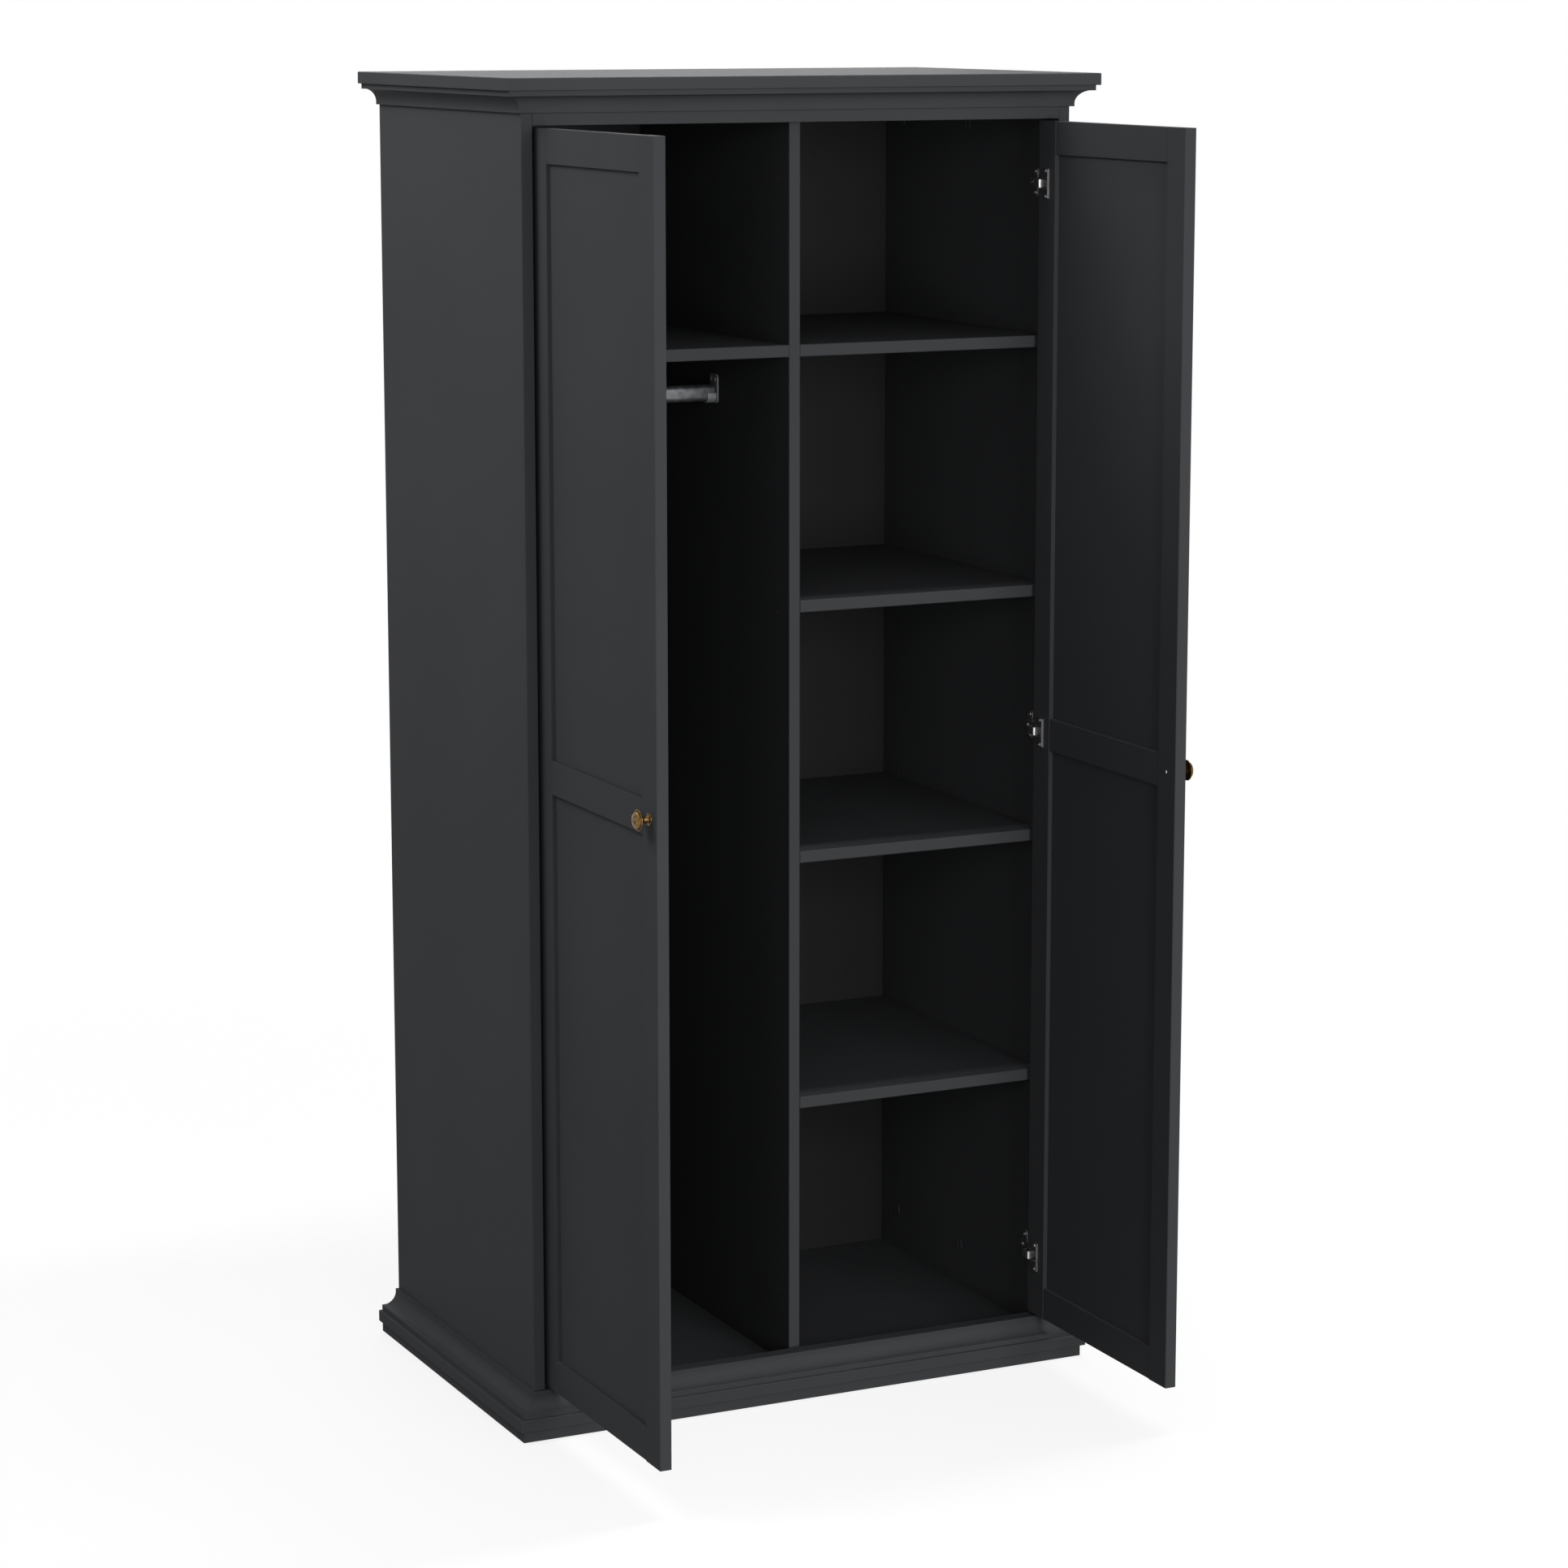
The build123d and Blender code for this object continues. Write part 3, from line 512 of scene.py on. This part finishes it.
def screw_pattern():
    """One pan-head screw of unit head diameter along +Z: domed rim, cross recess and a short shank."""
    form = bmesh.new()
    top = turned(form, SCREW_BODY, 24)[-1]
    cross = []
    for quarter in range(4):
        cos, sin = math.cos(quarter * math.pi / 2), math.sin(quarter * math.pi / 2)
        for x, y in ((CROSS_HALF, CROSS_HALF), (CROSS_HALF, CROSS_ARM), (-CROSS_HALF, CROSS_ARM)):
            cross.append((x * cos - y * sin, x * sin + y * cos))
    rim = [form.verts.new((x, y, SCREW_TOP)) for x, y in cross]
    pit = [form.verts.new((x * CROSS_TAPER, y * CROSS_TAPER, SCREW_PIT)) for x, y in cross]
    edges = []
    for step in range(len(cross)):
        after = (step + 1) % len(cross)
        edges.append(form.edges.new((rim[step], rim[after])))
        form.faces.new((pit[step], pit[after], rim[after], rim[step]))
    form.faces.new(pit)
    edges += [form.edges.get(pair) for pair in zip(top, top[1:] + top[:1])]
    bmesh.ops.triangle_fill(form, edges=edges, use_beauty=True)
    bmesh.ops.recalc_face_normals(form, faces=form.faces)
    mesh = bpy.data.meshes.new("pan_head_screw")
    form.to_mesh(mesh)
    form.free()
    return bpy.data.objects.new("pan_head_screw", mesh)


def knob_profile():
    """Radius, distance from the door and wear, from the foot's rim to the top of the dome."""
    quarter = [math.pi / 2 * step / KNOB_ARC_STEPS for step in range(1, KNOB_ARC_STEPS + 1)]
    cone_in, cone_out = KNOB_CONE_R - KNOB_NECK_R, KNOB_NECK_OUT - KNOB_CONE_OUT
    back_in, back_out = KNOB_BACK_R - KNOB_NECK_R, KNOB_BACK_OUT - KNOB_NECK_OUT
    foot = [
        (KNOB_FOOT_R, 0.0, 0.4), (KNOB_FOOT_R, KNOB_FOOT_T - KNOB_EASE, 0.9),
        (KNOB_FOOT_R - KNOB_EASE, KNOB_FOOT_T, 0.9), (KNOB_CONE_R, KNOB_FOOT_T, 0.0),
        (KNOB_CONE_R, KNOB_CONE_OUT, 0.0),
    ]
    cone = [(KNOB_NECK_R + cone_in * (1 - math.sin(t)), KNOB_CONE_OUT + cone_out * (1 - math.cos(t)), 0.6)
            for t in quarter]
    back = [(KNOB_NECK_R + back_in * (1 - math.cos(t)), KNOB_NECK_OUT + back_out * math.sin(t), 0.5)
            for t in quarter]
    # a rounded rim, then a groove down to the dome's foot
    rim = [
        (KNOB_RIM_R - 0.2, KNOB_BACK_OUT + 0.2, 0.8), (KNOB_RIM_R, KNOB_BACK_OUT + 0.6, 1.0),
        (KNOB_RIM_R, KNOB_RIM_OUT - KNOB_EASE, 1.0), (KNOB_RIM_R - 0.3, KNOB_RIM_OUT, 1.0),
        (KNOB_RIM_R - 1.2, KNOB_RIM_OUT + 0.1, 0.3), (KNOB_RIM_R - 1.5, KNOB_RIM_OUT - 0.3, 0.0),
        (KNOB_RIM_R - 2.0, KNOB_RIM_OUT - 0.3, 0.0), (KNOB_DOME_R, KNOB_DOME_OUT, 0.1),
    ]
    dome = [(KNOB_DOME_R * math.cos(t), KNOB_DOME_OUT + KNOB_DOME_H * math.sin(t), 0.4 + 0.6 * math.sin(t))
            for t in quarter]
    return foot + cone + back + rim + dome


def turned_knob(name, node, way):
    """A knob's turned mesh on its node's foot, pointing along X in the given way."""
    low, high = [Vector(corner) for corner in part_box(node)]
    middle = (low + high) / 2
    foot = face_x(low, high, -way)
    profile = knob_profile()
    form = bmesh.new()
    rings = turned(form, [(radius, out) for radius, out, _ in profile], KNOB_SIDES)
    wear = [worn for ring, (_, _, worn) in zip(rings, profile) for _ in ring]
    lay = Matrix(((0, 0, way * MM, foot), (MM, 0, 0, middle.y), (0, MM, 0, middle.z), (0, 0, 0, 1)))
    bmesh.ops.transform(form, matrix=lay, verts=form.verts)
    bmesh.ops.recalc_face_normals(form, faces=form.faces)
    mesh = bpy.data.meshes.new(name)
    form.to_mesh(mesh)
    form.free()
    handled = mesh.attributes.new("wear", "FLOAT", "POINT")
    handled.data.foreach_set("value", wear)
    mesh.shade_smooth()
    mesh.set_sharp_from_angle(angle=math.radians(50))
    return mesh


def scatter_tree():
    """Geometry nodes that set one fixing on each marked seat, turned outwards and spun at random."""
    tree = bpy.data.node_groups.new("Fixings on seats", "GeometryNodeTree")
    face = tree.interface
    face.new_socket("Seats", in_out="INPUT", socket_type="NodeSocketGeometry")
    face.new_socket("Fixing", in_out="INPUT", socket_type="NodeSocketObject")
    face.new_socket("Diameter", in_out="INPUT", socket_type="NodeSocketFloat")
    face.new_socket("Seed", in_out="INPUT", socket_type="NodeSocketInt")
    face.new_socket("Finish", in_out="INPUT", socket_type="NodeSocketMaterial")
    face.new_socket("Fixings", in_out="OUTPUT", socket_type="NodeSocketGeometry")
    given = add(tree, "NodeGroupInput").outputs
    outward = add(tree, "GeometryNodeInputNamedAttribute", data_type="FLOAT_VECTOR", Name="outward")
    aim = add(tree, "FunctionNodeAlignRotationToVector", {"Vector": outward.outputs["Attribute"]}, axis="Z")
    spin = add(tree, "FunctionNodeRandomValue", {"Seed": given["Seed"]}, data_type="FLOAT")
    # sockets 2 and 3 are the float range, and output 1 is the float value
    spin.inputs[2].default_value = 0.0
    spin.inputs[3].default_value = math.pi
    twist = add(tree, "FunctionNodeAxisAngleToRotation", {"Angle": spin.outputs[1]})
    turn = add(tree, "FunctionNodeRotateRotation", {
        "Rotation": aim.outputs["Rotation"], "Rotate By": twist.outputs["Rotation"]}, rotation_space="LOCAL")
    fixing = add(tree, "GeometryNodeObjectInfo", {"Object": given["Fixing"]})
    points = add(tree, "GeometryNodeMeshToPoints", {"Mesh": given["Seats"]})
    copies = add(tree, "GeometryNodeInstanceOnPoints", {
        "Points": points.outputs["Points"], "Instance": fixing.outputs["Geometry"],
        "Rotation": turn.outputs["Rotation"], "Scale": given["Diameter"]})
    real = add(tree, "GeometryNodeRealizeInstances", {"Geometry": copies.outputs["Instances"]})
    done = add(tree, "GeometryNodeSetMaterial", {
        "Geometry": real.outputs["Geometry"], "Material": given["Finish"]})
    add(tree, "NodeGroupOutput", {"Fixings": done.outputs["Geometry"]})
    return tree


def scattered(name, seats, pattern, diameter, body, slot):
    """Sets a pattern on seats of (place, outward) and returns them all as one plain piece."""
    tree = bpy.data.node_groups.get("Fixings on seats") or scatter_tree()
    values = {"Fixing": pattern, "Diameter": diameter, "Finish": FINISHES[slot],
              "Seed": bpy.context.scene.wardrobe_detail.seed}
    mesh = bpy.data.meshes.new(name + "_seats")
    mesh.from_pydata([place for place, _ in seats], [], [])
    outward = mesh.attributes.new("outward", "FLOAT_VECTOR", "POINT")
    for item, (_, way) in zip(outward.data, seats):
        item.vector = way
    maker = bpy.data.objects.new(name + "_maker", mesh)
    bpy.context.scene.collection.objects.link(maker)
    modifier = maker.modifiers.new("Fixings", "NODES")
    modifier.node_group = tree
    for socket in tree.interface.items_tree:
        if socket.in_out == "INPUT" and socket.name in values:
            modifier[socket.identifier] = values[socket.name]
    done = baked(maker)
    done.shade_smooth()
    done.set_sharp_from_angle(angle=math.radians(35))
    return link(name, done, body)


class WARDROBE_OT_finishes(bpy.types.Operator):
    """Makes the materials, one for each finish in the record"""

    bl_idname = "wardrobe.finishes"
    bl_label = "Finishes"

    def execute(self, context):
        tones = context.scene.wardrobe_finish
        FINISHES["board_black"] = foil_board("Matt black foil on board", tones.foil, tones.foil_low)
        FINISHES["back_board"] = foil_board("Lacquered hardboard", tones.back, tones.back_low)
        FINISHES["nickel_plate"] = plated_metal("Nickel-plated steel", tones.nickel, 0.36, 4.0)
        FINISHES["bright_steel"] = plated_metal("Zinc-plated steel", tones.zinc, 0.34, 3.0)
        FINISHES["cam_zinc"] = plated_metal("Die-cast zinc", tones.cam, 0.5, 2.0)
        FINISHES["rail_steel"] = galvanised_tube("Galvanised tube", tones.rail, tones.rail_dark)
        FINISHES["bracket_grey"] = moulded_grey("Moulded grey cradle", tones.bracket)
        FINISHES["aged_brass"] = aged_brass("Antique brass", tones.brass, tones.patina)
        FINISHES["dowel_beech"] = beech_dowel("Turned beech", tones.beech)
        return {"FINISHED"}


class WARDROBE_OT_boards(bpy.types.Operator):
    """Finishes the carcass boards, plinth, shelves and back"""

    bl_idname = "wardrobe.boards"
    bl_label = "Boards"

    def execute(self, context):
        for node in PLAIN_BOARDS:
            softened(node, context.scene.wardrobe_detail.arris)
        for node in DRILLED_BOARDS + BACK_PANELS:
            coat(node)
        return {"FINISHED"}


class WARDROBE_OT_mouldings(bpy.types.Operator):
    """Finishes the mitred cornice and base mouldings"""

    bl_idname = "wardrobe.mouldings"
    bl_label = "Mouldings"

    def execute(self, context):
        for node in MOULDINGS:
            softened(node, context.scene.wardrobe_detail.moulding_arris)
        return {"FINISHED"}


class WARDROBE_OT_doors(bpy.types.Operator):
    """Finishes the framed doors"""

    bl_idname = "wardrobe.doors"
    bl_label = "Doors"

    def execute(self, context):
        for door in DOORS:
            for part in DOOR_STILES:
                coat(door + "_" + part)
            for part in DOOR_FIELDS:
                softened(door + "_" + part, context.scene.wardrobe_detail.arris)
        return {"FINISHED"}


class WARDROBE_OT_hinges(bpy.types.Operator):
    """Finishes the cup hinges and the inner fittings"""

    bl_idname = "wardrobe.hinges"
    bl_label = "Hinges"

    def execute(self, context):
        for node in ["hinge_arms", "hinge_plates"] + [door + "_hinge_cups" for door in DOORS]:
            softened(node, context.scene.wardrobe_detail.hinge_arris)
        fittings = ["cam_locks", "cam_bolts", "wooden_dowels", "shelf_pins"]
        for node in fittings + [door + "_hinge_pins" for door in DOORS]:
            coat(node)
        return {"FINISHED"}


class WARDROBE_OT_rail(bpy.types.Operator):
    """Finishes the hanging rail and its cradles"""

    bl_idname = "wardrobe.rail"
    bl_label = "Hanging rail"

    def execute(self, context):
        for node in ("clothes_rail", "rail_brackets"):
            softened(node, context.scene.wardrobe_detail.rail_arris)
        return {"FINISHED"}


class WARDROBE_OT_knobs(bpy.types.Operator):
    """Turns the brass knobs with their rings and worn grooves"""

    bl_idname = "wardrobe.knobs"
    bl_label = "Knobs"

    def execute(self, context):
        for door, way in zip(DOORS, (-1, 1)):
            node = door + "_knob"
            mesh = turned_knob(node + "_turned", node, way)
            mesh.materials.append(finish_for(node))
            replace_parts(link(node + "_turned", mesh, door), node)
        return {"FINISHED"}


class WARDROBE_OT_screws(bpy.types.Operator):
    """Sets cross-recessed screws in the hinges, plates, cradles and knobs"""

    bl_idname = "wardrobe.screws"
    bl_label = "Screws"

    def execute(self, context):
        head = context.scene.wardrobe_detail.screw_head
        pattern = screw_pattern()
        # screws look towards the middle of the wardrobe, and those of the cradles to the middle of the rail
        middle_of = {"rail_bracket_screws": sum(corner.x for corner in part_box("clothes_rail")) / 2}
        groups = ["hinge_plate_screws", "rail_bracket_screws"]
        groups += [door + "_cup_screws" for door in DOORS] + [door + "_knob_screw" for door in DOORS]
        for node in groups:
            seats = []
            for low, high in islands(node):
                way = inward(low, high, middle_of.get(node, 0.0))
                under_head = face_x(low, high, way) - way * SCREW_TOP * head
                seats.append(seat_x(under_head, (low.y + high.y) / 2, (low.z + high.z) / 2, way))
            piece = scattered(node + "_cross", seats, pattern, head, body_of(node), SLOT_OF[node])
            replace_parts(piece, node)
        seats = []
        for low, high in islands("hinge_arms"):
            way = inward(low, high)
            strap = face_x(low, high, -way) + way * ARM_T
            seats += [seat_x(strap, high.y - inset, (low.z + high.z) / 2, way) for inset in ADJUSTERS]
        scattered("hinge_adjusting_screws", seats, pattern, head, "carcass", "bright_steel")
        bpy.data.objects.remove(pattern)
        return {"FINISHED"}


class WARDROBE_OT_caps(bpy.types.Operator):
    """Presses a thin cap over each cam lock"""

    bl_idname = "wardrobe.caps"
    bl_label = "Cam caps"

    def execute(self, context):
        pattern = turned_pattern("cam_cap", CAP_BODY, 40)
        seats = []
        for low, high in islands("cam_locks"):
            way = inward(low, high)
            seats.append(seat_x(face_x(low, high, way), (low.y + high.y) / 2, (low.z + high.z) / 2, way))
        diameter = context.scene.wardrobe_detail.cam_cap
        scattered("cam_caps", seats, pattern, diameter, "carcass", "board_black")
        bpy.data.objects.remove(pattern)
        return {"FINISHED"}


class WARDROBE_OT_nails(bpy.types.Operator):
    """Drives nails round the edges of the back panels"""

    bl_idname = "wardrobe.nails"
    bl_label = "Back nails"

    def execute(self, context):
        detail = context.scene.wardrobe_detail
        pattern = turned_pattern("panel_nail", NAIL_BODY, 16)
        seats = []
        for node in BACK_PANELS:
            low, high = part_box(node)
            left, right = low[0] + detail.nail_inset, high[0] - detail.nail_inset
            bottom, top = low[2] + detail.nail_inset, high[2] - detail.nail_inset
            across = round((right - left) / detail.nail_step)
            upward = round((top - bottom) / detail.nail_step)
            columns = [left + (right - left) * k / across for k in range(across + 1)]
            rows = [bottom + (top - bottom) * k / upward for k in range(1, upward)]
            spots = [(x, z) for x in columns for z in (bottom, top)]
            spots += [(x, z) for x in (left, right) for z in rows]
            seats += [(Vector((x, high[1], z)), Vector((0, 1, 0))) for x, z in sorted(spots)]
        scattered("back_panel_nails", seats, pattern, detail.nail_head, "carcass", "bright_steel")
        bpy.data.objects.remove(pattern)
        return {"FINISHED"}


def lay_floor(scene, studio):
    """A wide flat floor under the object."""
    form = bmesh.new()
    bmesh.ops.create_grid(form, x_segments=1, y_segments=1, size=FLOOR_HALF)
    mesh = bpy.data.meshes.new("studio_floor")
    form.to_mesh(mesh)
    form.free()
    floor = bpy.data.objects.new("studio_floor", mesh)
    scene.collection.objects.link(floor)
    mesh.materials.append(pale_floor("Pale studio floor", studio.bounce, studio.backdrop))


def light_sky(scene, studio):
    """Even light that changes from the horizon to the zenith, seen by the camera as plain white."""
    scene.world = bpy.data.worlds.new("Studio sky")
    scene.world.use_nodes = True
    tree = scene.world.node_tree
    tree.nodes.clear()
    way = add(tree, "ShaderNodeTexCoord").outputs["Generated"]
    height = add(tree, "ShaderNodeSeparateXYZ", {"Vector": way}).outputs["Z"]
    level = ranged(tree, height, From_Max=ZENITH_FROM, To_Min=studio.horizon, To_Max=studio.zenith)
    light = add(tree, "ShaderNodeBackground", {"Strength": level}, Color=(1, 1, 1, 1))
    white = add(tree, "ShaderNodeBackground", Color=(1, 1, 1, 1), Strength=1.0)
    mix = add(tree, "ShaderNodeMixShader", {
        "Fac": seen_ray(tree), 1: light.outputs["Background"], 2: white.outputs["Background"]})
    add(tree, "ShaderNodeOutputWorld", {"Surface": mix.outputs["Shader"]})


def hang_lamps(scene, studio):
    """The softboxes, out of the camera's sight."""
    for name, (width, depth, place, target) in LAMPS.items():
        lamp = bpy.data.lights.new(name + "_softbox", "AREA")
        lamp.energy = getattr(studio, name)
        lamp.shape = "RECTANGLE"
        lamp.size = width
        lamp.size_y = depth
        holder = bpy.data.objects.new(name + "_softbox", lamp)
        holder.location = place
        holder.visible_camera = False
        holder.rotation_euler = (Vector(target) - Vector(place)).to_track_quat("-Z", "Y").to_euler()
        scene.collection.objects.link(holder)


def set_camera(scene, studio):
    """The photograph's camera."""
    lens = bpy.data.cameras.new("photo_camera")
    lens.sensor_width = SENSOR_MM
    lens.lens = studio.focal / PHOTO_PIXELS * SENSOR_MM
    lens.shift_y = studio.shift
    lens.clip_end = 100.0
    camera = bpy.data.objects.new("photo_camera", lens)
    camera.location = studio.camera_at
    camera.rotation_euler = Euler((math.pi / 2 + studio.pitch, 0, -studio.yaw), "XYZ")
    scene.collection.objects.link(camera)
    scene.camera = camera


class WARDROBE_OT_stage(bpy.types.Operator):
    """Builds the floor, the light and the photograph's camera"""

    bl_idname = "wardrobe.stage"
    bl_label = "Stage"

    def execute(self, context):
        scene = context.scene
        scene.view_settings.view_transform = "Standard"
        for step in (lay_floor, light_sky, hang_lamps, set_camera):
            step(scene, scene.wardrobe_studio)
        return {"FINISHED"}


STEPS = (
    WARDROBE_OT_stage, WARDROBE_OT_finishes, WARDROBE_OT_boards, WARDROBE_OT_mouldings, WARDROBE_OT_doors,
    WARDROBE_OT_hinges, WARDROBE_OT_rail, WARDROBE_OT_knobs, WARDROBE_OT_screws,
    WARDROBE_OT_caps, WARDROBE_OT_nails,
)


class WARDROBE_PT_panel(bpy.types.Panel):
    """Lists the steps in the sidebar"""

    bl_label = "Wardrobe"
    bl_idname = "WARDROBE_PT_panel"
    bl_space_type = "VIEW_3D"
    bl_region_type = "UI"
    bl_category = "Wardrobe"

    def draw(self, context):
        for step in STEPS:
            self.layout.operator(step.bl_idname)


GROUPS = {
    "wardrobe_finish": WardrobeFinish,
    "wardrobe_detail": WardrobeDetail,
    "wardrobe_studio": WardrobeStudio,
}
CLASSES = (*GROUPS.values(), *STEPS, WARDROBE_PT_panel)


def register():
    for item in CLASSES:
        bpy.utils.register_class(item)
    for name, group in GROUPS.items():
        setattr(bpy.types.Scene, name, bpy.props.PointerProperty(type=group))


def unregister():
    for name in GROUPS:
        delattr(bpy.types.Scene, name)
    for item in reversed(CLASSES):
        bpy.utils.unregister_class(item)


def main():
    register()
    for step in STEPS:
        getattr(bpy.ops.wardrobe, step.bl_idname.split(".")[1])()


if __name__ == "__main__":
    main()
